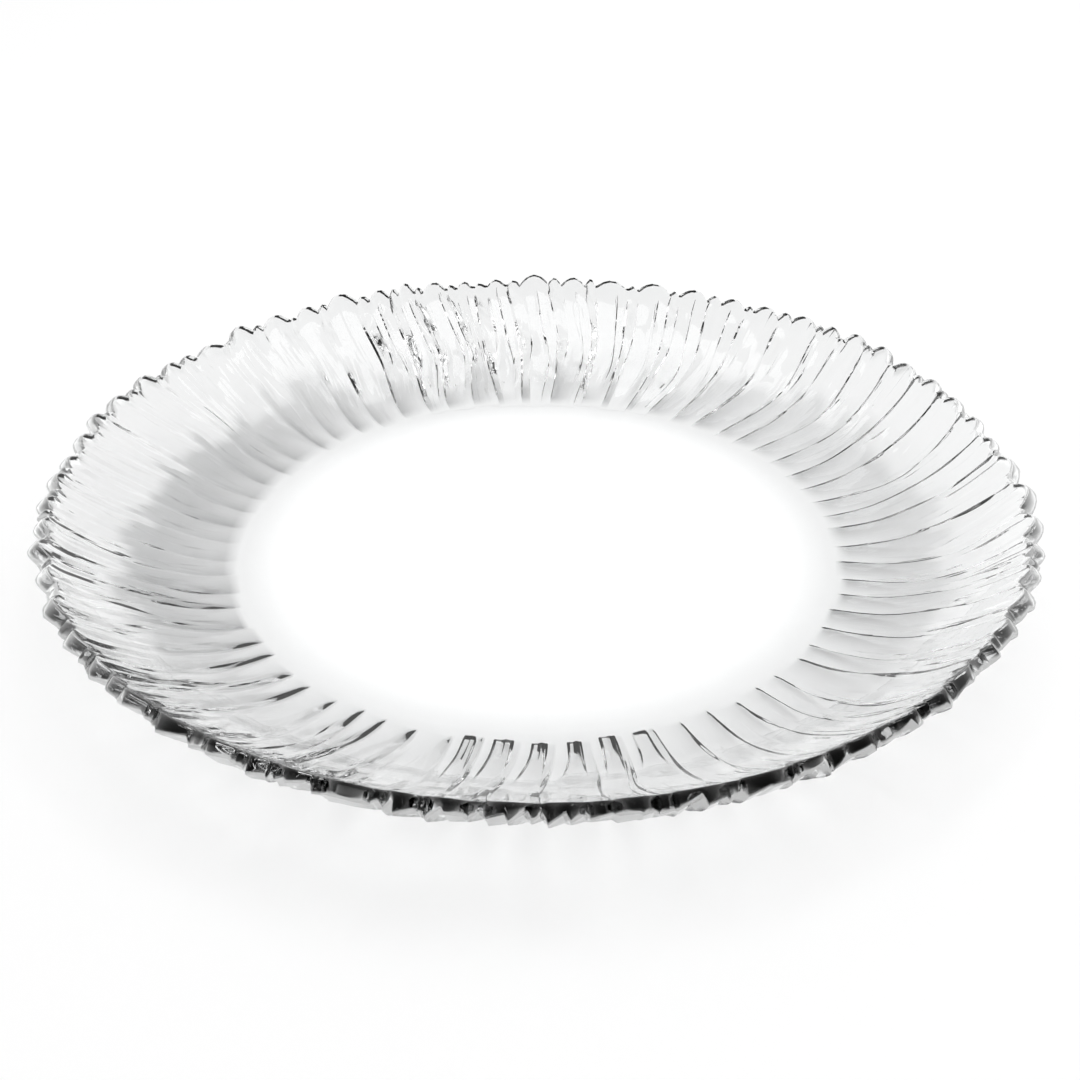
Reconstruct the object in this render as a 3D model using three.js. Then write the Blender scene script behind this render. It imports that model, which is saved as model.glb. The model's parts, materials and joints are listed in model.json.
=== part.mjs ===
// Round serving plate in clear pressed glass. It is one solid: a turned dish with a flat well and a flaring
// wall, with irregular radial flutes pressed into the underside of the wall and a lobed rim. Each flute starts
// beside the well as a slot or a hollow scoop, and further out it turns into three slanted facets.
// Millimetres, +Z up. The plate stands on z = 0, is centred on the Z axis and has its front towards -Y.
import * as THREE from 'three';

const { lerp, smoothstep, euclideanModulo } = THREE.MathUtils;

// Dish
const OUTER_DIAMETER = 325; // across the rim's lower corner, before its lobes take about 3 mm off it
const WELL_DIAMETER = 199; // flat floor, out to the foot of the wall
const BASE_THICKNESS = 5; // glass under the well
const WALL_RISE = 28; // from the well's floor up to the rim's upper corner
const WALL_POWER = 2.2; // the wall's height grows as this power of its run, so it steepens outwards
const EDGE_THICKNESS = 6.5; // glass at the rim, measured square to the wall

// Inner ends of the flutes. "From the front" is an angle round the plate in degrees, 0 at the front and 180
// at the back.
const FLUTE_COUNT = 66;
const END_SETBACK = 2; // furthest that a flute starts from the foot of the wall
const SLOT_END = 0.8; // length of the face that closes a slot
const SCOOP_END = [0.07, 0.27]; // share of the wall over which a scoop sets in, near the front and far off
const SCOOP_END_ZONE = [55, 100]; // angles from the front between which that share grows

// Slots at the front, and scoops elsewhere
const SLOT_DEPTH = 2.1;
const SLOT_WIDTH = [0.34, 0.5]; // least and greatest share of its flute that a slot takes at its end
const SLOT_WIDTH_OUT = 0.8; // share of the flute between a slot's sides further out
const SLOT_WIDENS = [0.12, 0.65]; // shares of the wall between which the slots widen
const SLOT_HOLLOW = 0.6; // how much a slot's floor is hollowed, as a share of its depth
const SLOT_ZONE = [10, 17]; // angles from the front between which slots give way to scoops
const SLOT_TO_SCOOP = [0.05, 0.45]; // shares of the wall between which a slot turns into a scoop
const SCOOP_DEPTH = 0.8; // at the flute's last side
const SCOOP_POWER = 1.6; // a scoop deepens as this power of the way across its flute
const SCOOP_TIP = [0.2, 0.4]; // least and greatest share of its flute that a scoop takes at its tip
const SCOOP_SPREAD = 0.4; // share of the wall by which a scoop takes its whole flute
const SCOOP_FADE = [0.5, 0.75]; // shares of the wall between which slots and scoops die out
const DEPTH_SPREAD = [0.75, 1.25]; // least and greatest depth of a flute, against the usual one
const WORN_SIDE = THREE.MathUtils.degToRad(175); // where the flutes are shallowest
const WORN_ZONE = [0.7, 0.97]; // cosines of the way round from there between which they grow shallow
const WEAR = 0.45; // share of their depth that they lose there

// Facets of the outer wall, three to a flute
const FACET_DEPTH = 1.4; // at the rim
const BACK_DEPTH = 1.4; // depth of the facets at the back, against the usual one
const PRINT_DEPTH = 0.25; // of the faint print that the facets leave in the upper face
const FACET_ONSET = [0.5, 0.68]; // shares of the wall between which the facets set in
const BACK_ONSET = [0.05, 0.5]; // shares of the wall between which they set in at the back
const ONSET_LENGTH = 0.1; // share of the wall over which a facet sets in
const ONSET_STEP = 0.5; // share of its depth that a facet gains as it sets in
const INNER_SIDE = 0.06; // share of the flute's width that each of its two inner sides takes
const LAST_SIDE = 0.09; // share of the flute's width that its last, deepest side takes
const BACK_SIDES = 0.5; // width of all these sides at the back, against the usual one
const SPLIT_LOW = [0.22, 0.42]; // shares of the flute's width between which its first facet ends
const SPLIT_HIGH = [0.56, 0.76]; // shares of the flute's width between which its second facet ends
const SPLIT_ZONE = [0.3, 0.7]; // shares of the wall between which a slot's sides become the splits
const RISE_LOW = [0.2, 0.5]; // depth gained along the first facet, as a share of the facets' depth
const RISE_MID = [0.15, 0.4]; // depth gained along the second facet
const RISE_HIGH = [0.75, 1.15]; // depth reached at the end of the third facet
const STEADY = [0.6, -0.1]; // taken off an inner side's step back, at the front and at the back
const BACK_ZONE = [135, 160]; // angles from the front between which the flutes break up towards the back

// How far the flutes stray from an even, straight pattern, in shares of their pitch
const STRAY = 0.3; // spread of the places where they start
const LEAN = 0.3; // slow sideways drift that they have gained at the rim
const LEAN_WAVES = 5; // turns of that drift round the plate
const SWEEP = [-0.1, 0.5]; // least and greatest sideways sweep half way out
const SWEEP_WHOLE = 0.6; // share of the wall where the sweep is whole
const SWEEP_TURN = 0.55; // share of the wall from where it turns back
const SWEEP_BACK = 0.7; // share of the sweep that is lost again by the rim

// Rim
const LOBE_DEPTH = 3.5; // how much shorter the shortest lobe is than the longest, along the wall
const LOBE_ROUND = 2.4; // how far a lobe falls back half way to its neighbours
const LOBE_ZONE = [0.82, 1]; // shares of the wall between which the lobes come to differ
const LONG_LOBE = [0, 0.6]; // least and greatest shortfall of a flute's first lobe, as a share of that depth
const SHORT_LOBE = [0.4, 1]; // least and greatest shortfall of its second lobe
const BEVEL = [0.4, 4.4]; // least and greatest height of the bevel under the edge
const BEVEL_STARTS = [0, 0.5]; // place of a facet's bevel between these heights, where the facet starts
const BEVEL_ENDS = [0.3, 1]; // the same where it ends
const BEVEL_BACK = 0.12; // the same at the back
const BEVEL_CALM = 0.75; // share of the difference that the bevel loses away from the front
const BEVEL_CALM_ZONE = [35, 70]; // angles from the front between which it loses that
const BEVEL_SLOPE = 0.18; // rise of the bevel against its run along the wall
const EDGE_BULGE = 1.2; // how far the fire-polished edge swells past its two corners

// Rows of points along the wall, as shares of its run, and the two faces that they lie on
const UNDER_ROWS = [0.45, 0.6, 0.75, 0.88, 1];
const UPPER_ROWS = [1, 0.8, 0.55, 0.28, 0];
const UNDER = 'under';
const UPPER = 'upper';
const EDGE = 'edge';
const FACETS = 3;
const COLUMNS_PER_FLUTE = 2 * FACETS; // one where each facet starts and one where it ends

// Each trait draws its scatter from its own salt.
const SALT = {
  start: 1, depth: 2, splitLow: 3, sweep: 5, slotWidth: 6, stray: 8, splitHigh: 9, riseLow: 10, riseMid: 11,
  riseHigh: 12, onset: 13, lobe: 14, dropLow: 15, dropHigh: 16, bevel: 17, tip: 19,
  tooth: 21,
};

const FULL_TURN = 2 * Math.PI;
const PITCH = FULL_TURN / FLUTE_COUNT;
const OUTER_RADIUS = OUTER_DIAMETER / 2;
const WELL_RADIUS = WELL_DIAMETER / 2;
const WALL_RUN = findWallRun();
const RIM_SLOPE = slopeAt(1);
const FLUTES = Array.from({ length: FLUTE_COUNT }, (_, index) => makeFlute(index));

// Horizontal run of the wall's upper face. The rim's edge is square to the wall, so its lower corner reaches
// past its upper one by an amount that depends on the run itself, and repetition settles both.
function findWallRun() {
  let run = OUTER_RADIUS - WELL_RADIUS;
  for (let pass = 0; pass < 20; pass += 1) {
    const slope = Math.atan((WALL_RISE * WALL_POWER) / run);
    run = OUTER_RADIUS - WELL_RADIUS - EDGE_THICKNESS * Math.sin(slope);
  }
  return run;
}

// Slope of the upper face, as an angle, at a share of the way out along the wall
function slopeAt(share) {
  return Math.atan((WALL_RISE * WALL_POWER * share ** (WALL_POWER - 1)) / WALL_RUN);
}

// A fixed scatter of values from 0 to 1, one for each index and trait
function scatter(index, trait) {
  const wave = Math.sin(index * 12.9898 + SALT[trait] * 78.233) * 43758.5453;
  return wave - Math.floor(wave);
}

function between([low, high], index, trait) {
  return lerp(low, high, scatter(index, trait));
}

// What is particular to one flute
function makeFlute(index) {
  const fromFront = 180 - Math.abs(euclideanModulo((index * 360) / FLUTE_COUNT + 90, 360) - 180);
  const scooped = smoothstep(fromFront, ...SLOT_ZONE);
  const scoopEnd = lerp(...SCOOP_END, smoothstep(fromFront, ...SCOOP_END_ZONE));
  const worn = smoothstep(Math.cos(index * PITCH - WORN_SIDE), ...WORN_ZONE);
  const broken = smoothstep(fromFront, ...BACK_ZONE);
  const calm = 1 - BEVEL_CALM * smoothstep(fromFront, ...BEVEL_CALM_ZONE);
  const facets = [0, 1, 2].map((facet) => FACETS * index + facet);
  const bevelAt = (range, facet, trait) => (
    lerp(...BEVEL, lerp(between(range, facet, trait) * calm, BEVEL_BACK, broken))
  );
  return {
    index,
    start: (END_SETBACK * scatter(index, 'start')) / WALL_RUN,
    closing: lerp(SLOT_END / WALL_RUN, scoopEnd, scooped),
    tipWidth: between(SCOOP_TIP, index, 'tip'),
    slotWidth: between(SLOT_WIDTH, index, 'slotWidth'),
    scooped,
    depth: between(DEPTH_SPREAD, index, 'depth') * (1 - WEAR * worn),
    facetDepth: FACET_DEPTH * lerp(1, BACK_DEPTH, broken),
    sideWidth: lerp(1, BACK_SIDES, broken),
    splitLow: between(SPLIT_LOW, index, 'splitLow'),
    splitHigh: between(SPLIT_HIGH, index, 'splitHigh'),
    stray: STRAY * (scatter(index, 'stray') - 0.5),
    lean: LEAN * Math.sin(LEAN_WAVES * index * PITCH),
    sweep: between(SWEEP, index, 'sweep'),
    corners: facetCorners(index, broken),
    onsets: facets.map((facet) => {
      const [usual, back] = [FACET_ONSET, BACK_ONSET].map((range) => between(range, facet, 'onset'));
      return lerp(usual, back, broken);
    }),
    bevels: facets.flatMap((facet) => [
      bevelAt(BEVEL_STARTS, facet, 'bevel'),
      bevelAt(BEVEL_ENDS, facet, 'tooth'),
    ]),
    lobes: [LONG_LOBE, SHORT_LOBE].map((range, lobe) => (
      LOBE_DEPTH * between(range, 2 * index + lobe, 'lobe')
    )),
  };
}

// Depths at the starts and ends of a flute's three facets. They climb in turn, and some step back between.
function facetCorners(index, broken) {
  const steady = lerp(...STEADY, broken);
  const drop = (trait) => Math.max(scatter(index, trait) - steady, 0);
  const lowEnd = between(RISE_LOW, index, 'riseLow');
  const midStart = lowEnd - drop('dropLow');
  const midEnd = midStart + between(RISE_MID, index, 'riseMid');
  const highStart = midEnd - drop('dropHigh');
  return [0, lowEnd, midStart, midEnd, highStart, between(RISE_HIGH, index, 'riseHigh')];
}

function fluteAt(index) {
  return FLUTES[euclideanModulo(index, FLUTE_COUNT)];
}

// Angle of the side where a flute begins: its even place, plus its stray and slow lean, less its sweep, which
// grows to half way out and then turns back
function sideAngle(turn, share) {
  const { stray, lean, sweep } = fluteAt(turn);
  const swept = smoothstep(share, 0, SWEEP_WHOLE) - SWEEP_BACK * smoothstep(share, SWEEP_TURN, 1);
  return PITCH * (turn + stray + lean * share ** 2 - sweep * swept);
}

// Width between a slot's sides, and the shares of the flute's width where those sides lie: beside the well they
// bound the slot, and further out they are the splits between the facets
function slotWidthAt(flute, share) {
  return lerp(flute.slotWidth, SLOT_WIDTH_OUT, smoothstep(share, ...SLOT_WIDENS));
}

function splitsAt(flute, share) {
  const width = slotWidthAt(flute, share);
  const outward = smoothstep(share, ...SPLIT_ZONE);
  return [lerp(0.5 - width / 2, flute.splitLow, outward), lerp(0.5 + width / 2, flute.splitHigh, outward)];
}

// Shares of the flute's width at its columns, which are the starts and ends of its facets
function acrossAt(flute, share, column) {
  const [low, high] = splitsAt(flute, share);
  const half = (INNER_SIDE * flute.sideWidth) / 2;
  return [0, low - half, low + half, high - half, high + half, 1 - LAST_SIDE * flute.sideWidth][column];
}

// Depth of a slot, which only its two middle columns reach, and of a scoop, which starts narrow and deepens on
// the way across to the flute's last side
function slotDepth(flute, share, column) {
  const [first, last] = [2, 3];
  if (column < first || column > last) return 0;
  const offset = (2 * acrossAt(flute, share, column) - 1) / slotWidthAt(flute, share);
  const bow = Math.max(1 - offset ** 2, 0);
  return SLOT_DEPTH * lerp(1 - SLOT_HOLLOW, 1, bow);
}

function scoopDepth(flute, share, column) {
  const lastStart = 1 - LAST_SIDE * flute.sideWidth;
  const width = lastStart * lerp(flute.tipWidth, 1, smoothstep(share, 0, SCOOP_SPREAD));
  const before = lastStart - acrossAt(flute, share, column);
  return SCOOP_DEPTH * Math.max(1 - before / width, 0) ** SCOOP_POWER;
}

function innerDepth(flute, share, column) {
  const scooped = Math.max(smoothstep(share, ...SLOT_TO_SCOOP), flute.scooped);
  const opened = smoothstep(share, flute.start, flute.start + flute.closing);
  const left = 1 - smoothstep(share, ...SCOOP_FADE);
  return lerp(slotDepth(flute, share, column), scoopDepth(flute, share, column), scooped) * opened * left;
}

// Section of the facets as a share of their depth: part of it is gained where a facet sets in, and the rest by
// the rim
function facetSection(flute, share, column) {
  const onset = flute.onsets[Math.floor(column / 2)];
  const early = smoothstep(share, onset, onset + ONSET_LENGTH);
  return flute.corners[column] * lerp(smoothstep(share, onset, 1), early, ONSET_STEP);
}

// How far the rim stops short. Each flute has two lobes that meet at its second split, each a parabola across
// its own middle, and the lobe that reaches furthest is the rim.
function shortfall(flute, share, column) {
  const across = acrossAt(flute, share, column);
  const [, high] = splitsAt(flute, share);
  const reaches = [-1, 0, 1].flatMap((turn) => {
    const [long, short] = fluteAt(flute.index + turn).lobes;
    const fromLong = (across - turn - high / 2) / (high / 2);
    const fromShort = (across - turn - (1 + high) / 2) / ((1 - high) / 2);
    return [long + LOBE_ROUND * fromLong ** 2, short + LOBE_ROUND * fromShort ** 2];
  });
  return Math.min(LOBE_DEPTH, ...reaches);
}

// Radius and height of a point that lies a depth below the wall's smooth upper face, square to it
function wallPoint(share, depth) {
  const slope = slopeAt(share);
  const radius = WELL_RADIUS + WALL_RUN * share + depth * Math.sin(slope);
  const height = BASE_THICKNESS + WALL_RISE * share ** WALL_POWER - depth * Math.cos(slope);
  return new THREE.Vector2(radius, height);
}

// Distance of the underside from the smooth upper face: the glass less the flutes, and less the bevel at the
// rim
function underDistance(flute, share, column) {
  const thickness = lerp(BASE_THICKNESS, EDGE_THICKNESS, share ** 2);
  const cut = innerDepth(flute, share, column) + flute.facetDepth * facetSection(flute, share, column);
  const ahead = ((1 - share) * WALL_RUN) / Math.cos(RIM_SLOPE);
  const bevelled = EDGE_THICKNESS - flute.bevels[column] + ahead * BEVEL_SLOPE;
  return Math.min(thickness - cut * flute.depth, bevelled);
}

function facePoint(side, flute, share, column) {
  const reached = share - (smoothstep(share, ...LOBE_ZONE) * shortfall(flute, share, column)) / WALL_RUN;
  if (side === UPPER) return wallPoint(reached, PRINT_DEPTH * facetSection(flute, share, column));
  return wallPoint(reached, underDistance(flute, share, column));
}

// Middle of the rim's edge, swollen outwards along the wall
function edgePoint(flute, column) {
  const lower = facePoint(UNDER, flute, 1, column);
  const upper = facePoint(UPPER, flute, 1, column);
  const outward = new THREE.Vector2(Math.cos(RIM_SLOPE), Math.sin(RIM_SLOPE));
  return lower.lerp(upper, 0.5).addScaledVector(outward, EDGE_BULGE);
}

// The rows of the profile, from the middle of the base round the rim to the middle of the well
function makeRows() {
  const rowAt = (side, share) => ({ side, shareOf: () => share });
  const closed = (flute) => flute.start + flute.closing;
  return [
    { height: 0 },
    rowAt(UNDER, 0),
    { side: UNDER, shareOf: (flute) => flute.start },
    { side: UNDER, shareOf: closed },
    { side: UNDER, shareOf: (flute) => lerp(closed(flute), UNDER_ROWS[0], 0.5) },
    ...UNDER_ROWS.map((share) => rowAt(UNDER, share)),
    rowAt(EDGE, 1),
    ...UPPER_ROWS.map((share) => rowAt(UPPER, share)),
    { height: BASE_THICKNESS },
  ];
}

// One vertex of the plate
function placeVertex(row, flute, turn, column) {
  if (!row.side) return new THREE.Vector3(0, 0, row.height);
  const share = row.shareOf(flute);
  const point = row.side === EDGE ? edgePoint(flute, column) : facePoint(row.side, flute, share, column);
  const angle = lerp(sideAngle(turn, share), sideAngle(turn + 1, share), acrossAt(flute, share, column));
  return new THREE.Vector3(point.x * Math.cos(angle), point.x * Math.sin(angle), point.y);
}

// A lathe gives the closed surface, and each of its vertices then moves to its place on the fluted plate.
function plateGeometry() {
  const rows = makeRows();
  const profile = rows.map((row) => (row.side ? new THREE.Vector2(1, 0) : new THREE.Vector2(0, 0)));
  const columns = FLUTE_COUNT * COLUMNS_PER_FLUTE;
  const geometry = new THREE.LatheGeometry(profile, columns);
  const { position } = geometry.attributes;
  for (let column = 0; column <= columns; column += 1) {
    const turn = Math.floor(column / COLUMNS_PER_FLUTE);
    rows.forEach((row, index) => {
      const vertex = placeVertex(row, fluteAt(turn), turn, column % COLUMNS_PER_FLUTE);
      position.setXYZ(column * rows.length + index, vertex.x, vertex.y, vertex.z);
    });
  }
  geometry.computeVertexNormals();
  return geometry;
}

const clearGlass = new THREE.MeshStandardMaterial({
  color: 0xf4f7f7,
  roughness: 0.03,
  metalness: 0,
  transparent: true,
  opacity: 0.35,
});

const glassPlate = new THREE.Mesh(plateGeometry(), clearGlass);
glassPlate.name = 'glass_plate';

const servingPlate = new THREE.Group();
servingPlate.add(glassPlate);

export default servingPlate;
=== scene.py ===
"""Round serving plate in clear pressed glass on a plain white stage, laid out as a Blender add-on."""
import json

import bpy
import numpy as np
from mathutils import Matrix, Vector


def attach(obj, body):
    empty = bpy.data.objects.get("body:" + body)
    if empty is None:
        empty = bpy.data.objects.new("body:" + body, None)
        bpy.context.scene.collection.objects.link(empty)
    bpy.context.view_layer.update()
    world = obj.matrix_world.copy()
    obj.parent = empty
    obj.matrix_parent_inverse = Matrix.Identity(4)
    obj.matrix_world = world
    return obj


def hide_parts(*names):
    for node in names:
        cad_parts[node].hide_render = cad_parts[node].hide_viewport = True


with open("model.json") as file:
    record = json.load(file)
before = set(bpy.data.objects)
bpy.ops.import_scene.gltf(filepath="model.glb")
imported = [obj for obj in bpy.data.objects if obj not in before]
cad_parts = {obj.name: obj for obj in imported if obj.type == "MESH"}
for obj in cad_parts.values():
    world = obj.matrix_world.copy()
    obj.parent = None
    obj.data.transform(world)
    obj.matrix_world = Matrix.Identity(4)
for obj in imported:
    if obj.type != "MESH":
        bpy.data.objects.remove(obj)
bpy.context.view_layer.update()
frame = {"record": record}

bl_info = {
    "name": "Pressed Glass Serving Plate",
    "version": (1, 0, 0),
    "blender": (4, 5, 0),
    "location": "View3D > Sidebar > Plate",
    "description": "Round fluted serving plate in clear pressed glass, with its stage",
    "category": "Add Mesh",
}

MM = 0.001
FULL_TURN = 2 * np.pi
CREASE = 40
# Vertex attribute of painted shade, from 0 to 1: how far the glass's colour is darkened towards its deep
# colour.
PAINTED_SHADE = "glass_shade"
EDGE_GLEAM = "edge_gleam"
NODE = "glass_plate"
BODY = "root"

# The scatter of a flute's, facet's or lobe's traits: each trait draws from its own salt.
SALT = {
    "start": 1, "depth": 2, "split_low": 3, "ripple": 4, "sweep": 5, "slot_width": 6, "stray": 8,
    "split_high": 9, "rise_low": 10, "rise_mid": 11, "rise_high": 12, "onset": 13, "lobe": 14, "drop_low": 15,
    "drop_high": 16, "bevel": 17, "phase": 18, "tip": 19, "tone": 20, "tooth": 21, "gleam": 22,
}

# Across a flute: three facets, each closed by a steep side. Columns stand at these shares of their widths.
FACETS = 3
FACET_COLUMNS = (0.0, 0.07, 0.36, 0.64, 0.93)
SIDE_COLUMNS = (0.0, 0.5)

# Rows along the profile: rings inside the foot of the wall, rows where a slot closes and just beside that,
# then even rows along the wall, the bevel, the edge and the upper face.
WELL_RINGS = (12 * MM, 1.5 * MM)
CLOSING_ROWS = (0.33, 0.67, 1.0)
BEFORE_CLOSING = 0.15 * MM
AFTER_CLOSING = (0.2 * MM, 0.8 * MM)
BEVEL_LENGTH = 12 * MM
WALL_ROWS = 25
BEVEL_ROWS = 9
EDGE_ROWS = 8
UPPER_ROWS = 17
UPPER_CROWDING = 1.3

SENSOR = 36
NEAREST = 10 * MM
BOUNCES = 24


def well_floor_height():
    """Height of the well's floor, from the record's mount there."""
    mounts = {mount["name"]: mount for mount in frame["record"]["mounts"]}
    return mounts["well_floor"]["pos_m"][2]


def length(name, description, default):
    return bpy.props.FloatProperty(name=name, description=description, default=default, min=0,
                                   unit="LENGTH", precision=5)


def share(name, description, default):
    return bpy.props.FloatProperty(name=name, description=description, default=default, min=0, max=1,
                                   subtype="FACTOR")


def span(name, description, default):
    return bpy.props.FloatVectorProperty(name=name, description=description, default=default, size=2)


def number(name, description, default):
    return bpy.props.FloatProperty(name=name, description=description, default=default)


def degrees(name, description, default):
    return bpy.props.FloatProperty(name=name, description=description, default=np.radians(default),
                                   subtype="ANGLE")


def colour(name, description, default):
    return bpy.props.FloatVectorProperty(name=name, description=description, default=default, size=3, min=0,
                                         max=1, subtype="COLOR")


class PlateDish(bpy.types.PropertyGroup):
    """Sizes of the plain turned dish under the flutes."""

    outer_radius: length("Outer radius", "To the rim's lower corner, before its lobes and bevel", 162.5 * MM)
    well_radius: length("Well radius", "Of the flat floor, out to the foot of the wall", 99.5 * MM)
    base: length("Base", "Thickness of the glass under the well", well_floor_height())
    rise: length("Rise", "From the well's floor up to the rim's upper corner", 28 * MM)
    power: number("Flare", "Power of its run by which the wall rises", 2.2)
    edge: length("Edge", "Thickness of the glass at the rim, square to the wall", 6.5 * MM)


class PlateFlutes(bpy.types.PropertyGroup):
    """Sizes of the flutes pressed into the underside, and how far they stray from an even pattern."""

    count: bpy.props.IntProperty(name="Flutes", description="Number of flutes round the plate", default=66,
                                 min=3)
    slot_depth: length("Slot depth", "Depth of a flute's slot beside the well", 2.1 * MM)
    facet_depth: length("Facet depth", "Depth of a flute's slanted facets at the rim", 1.4 * MM)
    print_depth: length("Print depth", "Depth of the facets' faint print in the upper face", 0.25 * MM)
    swell: length("Swell", "Height of the upper face's slow waves, each facet with its own", 0.2 * MM)
    swells: number("Swells", "Waves of that swell along the wall", 2.5)
    swell_in: span("Swell in", "Shares of the wall between which the swell sets in", (0.1, 0.4))
    swell_out: span("Swell out", "Shares of the wall between which it dies out", (0.85, 1.0))
    setback: length("Setback", "Furthest that a slot starts from the foot of the wall", 2 * MM)
    end: length("End", "Length of the face that closes a square slot's inner end", 0.8 * MM)
    taper: length("Taper", "Length of the slope that closes a scoop's inner end near the front", 4 * MM)
    far_taper: length("Far taper", "Length of that slope far from the front", 16 * MM)
    far: span("Far", "Angles from the front between which the tapers grow long, in degrees", (55, 100))
    front: span("Front", "Angles from the front between which the rim's teeth grow low, in degrees", (35, 70))
    square: span("Square", "Angles from the front between which square slots give way to scoops", (10, 17))
    back: span("Back", "Angles from the front between which the flutes break up towards the back", (135, 160))
    ripple: length("Ripple", "Height of the fine ripples in the scoops at the back", 0.6 * MM)
    ripples: number("Ripples", "Ripples across a flute at the back", 2.5)
    ripple_slant: number("Ripple slant", "Ripples passed on the way out", 1.5)
    ripple_in: span("Ripple in", "Shares of the wall between which the ripples set in", (0.05, 0.2))
    ripple_out: span("Ripple out", "Shares of the wall between which they die out", (0.55, 0.75))
    ripple_beat: share("Ripple beat", "How much of their height comes and goes on the way out", 0.4)
    ripple_beats: span("Ripple beats", "Such beats along the wall, and from flute to flute", (3, 5))
    slot_width: span("Slot width", "Least and greatest share of the flute that a slot takes at its end",
                     (0.34, 0.5))
    scoop_width: share("Scoop width", "Share of the flute that the slot takes once it is a wide scoop", 0.8)
    width_zone: span("Width zone", "Shares of the wall between which slots widen", (0.12, 0.65))
    scoop_zone: span("Scoop zone", "Shares of the wall between which slots become scoops", (0.05, 0.45))
    scoop_depth: share("Scoop depth", "Depth of a scoop, as a share of the slot's depth", 0.38)
    scoop_tip: span("Scoop tip", "Least and greatest share of the flute that a scoop takes at its tip",
                    (0.2, 0.4))
    scoop_spread: share("Scoop spread", "Share of the wall by which a scoop takes its whole width", 0.4)
    scoop_power: number("Scoop power", "Power of the way across by which a scoop deepens", 1.6)
    hollow: share("Hollow", "How much a slot's floor is hollowed, as a share of its depth", 0.6)
    rib: share("Rib", "Height of the rib along a slot's floor, as a share of its depth", 0.35)
    rib_place: share("Rib place", "Share of the floor's width at which the rib lies", 0.36)
    rib_half: share("Rib half", "Share of the floor's width from the rib's crest to its foot", 0.28)
    fade: span("Fade", "Shares of the wall between which the scoops die out", (0.5, 0.75))
    depth_spread: span("Depth spread", "Least and greatest depth of a flute, against the usual one",
                       (0.75, 1.25))
    worn_side: degrees("Worn side", "Where the mould is worn and the flutes are shallow", 175)
    worn_zone: span("Worn zone", "Cosines of the way round from there between which the wear sets in",
                    (0.7, 0.97))
    wear: share("Wear", "Share of their depth that the flutes lose there", 0.45)
    onset: span("Onset", "Shares of the wall between which the facets set in", (0.5, 0.68))
    back_onset: span("Back onset", "Shares of the wall between which they set in at the back", (0.05, 0.5))
    dashes: span("Dashes", "Angles from the front between which the facets come to rise and fall", (95, 140))
    pulse: share("Pulse", "How much of a facet's depth rises and falls on the way out", 0.8)
    pulses: number("Pulses", "Such rises along the wall", 2.5)
    onset_length: share("Onset length", "Share of the wall over which a facet sets in", 0.1)
    onset_step: share("Onset step", "Share of a facet's depth that it gains as it sets in", 0.5)
    side: share("Side", "Share of a flute's width that an inner side takes", 0.06)
    last_side: share("Last side", "Share of a flute's width that its last, deepest side takes", 0.09)
    back_side: share("Back sides", "Width of the sides at the back, against the usual one", 0.5)
    back_depth: number("Back depth", "Depth of the facets at the back, against the usual one", 1.4)
    split_low: span("First split", "Shares of the flute's width between which its first facet ends",
                    (0.22, 0.42))
    split_high: span("Second split", "Shares of the flute's width between which its second facet ends",
                     (0.56, 0.76))
    split_zone: span("Split zone", "Shares of the wall between which a slot's sides become the splits",
                     (0.3, 0.7))
    rise_low: span("First rise", "Depth gained along the first facet, in shares of the usual depth",
                   (0.2, 0.5))
    rise_mid: span("Second rise", "Depth gained along the second facet", (0.15, 0.4))
    rise_high: span("Third rise", "Depth reached at the end of the third facet", (0.75, 1.15))
    steady: span("Steady", "Taken off an inner side's step back, at the front and at the back", (0.6, -0.1))
    stray: share("Stray", "Spread of the flutes' places, in shares of their pitch", 0.3)
    lean: share("Lean", "Slow sideways drift at the rim, in shares of the pitch", 0.3)
    lean_waves: bpy.props.IntProperty(name="Lean waves", description="Waves of that drift round the plate",
                                      default=5)
    sweep: span("Sweep", "Least and greatest sideways sweep half way out, in shares of the pitch", (-0.1, 0.5))
    sweep_zone: span("Sweep zone", "Shares of the wall where the sweep is whole, and from where it turns back",
                     (0.6, 0.55))
    sweep_back: share("Sweep back", "Share of the sweep that is lost again by the rim", 0.7)


class PlateRim(bpy.types.PropertyGroup):
    """Sizes of the lobed rim and its fire-polished edge."""

    lobe: length("Lobe", "How much shorter the shortest lobe is than the longest, along the wall", 3.5 * MM)
    long_lobe: span("Long lobe", "Least and greatest shortfall of a flute's first lobe, as a share of that",
                    (0, 0.6))
    short_lobe: span("Short lobe", "Least and greatest shortfall of its second lobe", (0.4, 1.0))
    lobe_round: length("Lobe round", "How far a lobe falls back half way to its neighbours", 2.4 * MM)
    lobe_zone: span("Lobe zone", "Shares of the wall between which the lobes come to differ", (0.82, 1.0))
    bevel: span("Bevel", "Least and greatest height of the bevel under the edge, in millimetres", (0.4, 4.4))
    bevel_starts: span("Bevel starts", "Place of the bevel between these where a facet starts", (0, 0.5))
    bevel_ends: span("Bevel ends", "The same where a facet ends", (0.3, 1))
    bevel_back: share("Bevel back", "The same at the back", 0.12)
    bevel_calm: share("Bevel calm", "Share of the difference that the bevel loses away from the front", 0.75)
    bevel_slope: share("Bevel slope", "Rise of the bevel against its run along the wall", 0.18)
    bevel_blend: length("Bevel blend", "Length over which the bevel rounds into the underside", 0.5 * MM)
    round: length("Edge round", "How far the edge swells past its two corners", 1.2 * MM)
    round_power: share("Edge power", "Power of the edge's superellipse, smaller for a squarer edge", 0.65)
    bevel_gleam: share("Bevel gleam", "How much the bevel throws light back, as cut glass does", 0.55)
    side_gleam: share("Side gleam", "How much of that the edge does away from the front", 0.6)
    gleam_reach: share("Gleam reach", "Greatest share of the edge's height that gleams at the front", 0.5)
    gleam_blend: share("Gleam blend", "Share of the edge's height over which that gleam ends", 0.15)


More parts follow.
